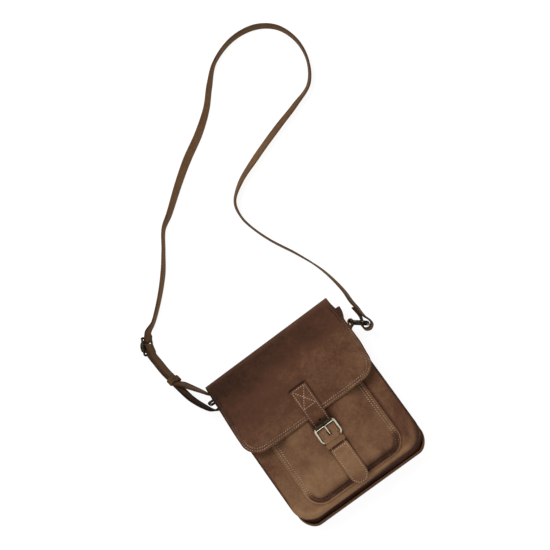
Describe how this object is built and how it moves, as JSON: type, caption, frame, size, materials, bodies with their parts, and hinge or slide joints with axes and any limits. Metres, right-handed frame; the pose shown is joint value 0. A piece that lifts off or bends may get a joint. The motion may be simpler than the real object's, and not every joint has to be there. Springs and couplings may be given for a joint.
{
  "type": "leather crossbody bag",
  "caption": "Small crossbody bag of oiled brown leather with a fold-over flap, a front pocket, a buckled closure strap, side rings and a long adjustable shoulder strap, lying on its back.",
  "frame": {"origin": "on the outside of the back panel, on the bag's centre line and level with the middle of the bag's height", "axes": "+X to the bag's right as seen from its front, +Y to its top fold, +Z out of its front, which is up while the bag lies on its back"},
  "size_m": [0.4249, 0.6232, 0.0767],
  "materials": {
    "brown_leather": "oiled pull-up leather, mottled, softly shiny",
    "dark_leather": "oiled leather, darker, softly shiny",
    "strap_leather": "oiled strap leather, rubbed dull",
    "antique_brass": "antiqued brass, dark in the hollows and bright on the edges"
  },
  "bodies": {
    "root": {"back_panel": "brown_leather", "front_panel": "brown_leather", "gusset": "dark_leather", "flap": "brown_leather", "front_pocket": "brown_leather", "closure_strap": "brown_leather", "buckle_chape": "brown_leather", "buckle_prong": "antique_brass", "buckle_frame": "antique_brass", "closure_keeper": "brown_leather", "ring_left": "antique_brass", "ring_tab_left": "dark_leather", "ring_right": "antique_brass", "ring_tab_right": "dark_leather", "shoulder_strap": "strap_leather", "strap_return": "strap_leather", "strap_slider": "antique_brass", "strap_keeper": "strap_leather"}
  },
  "joints": []
}
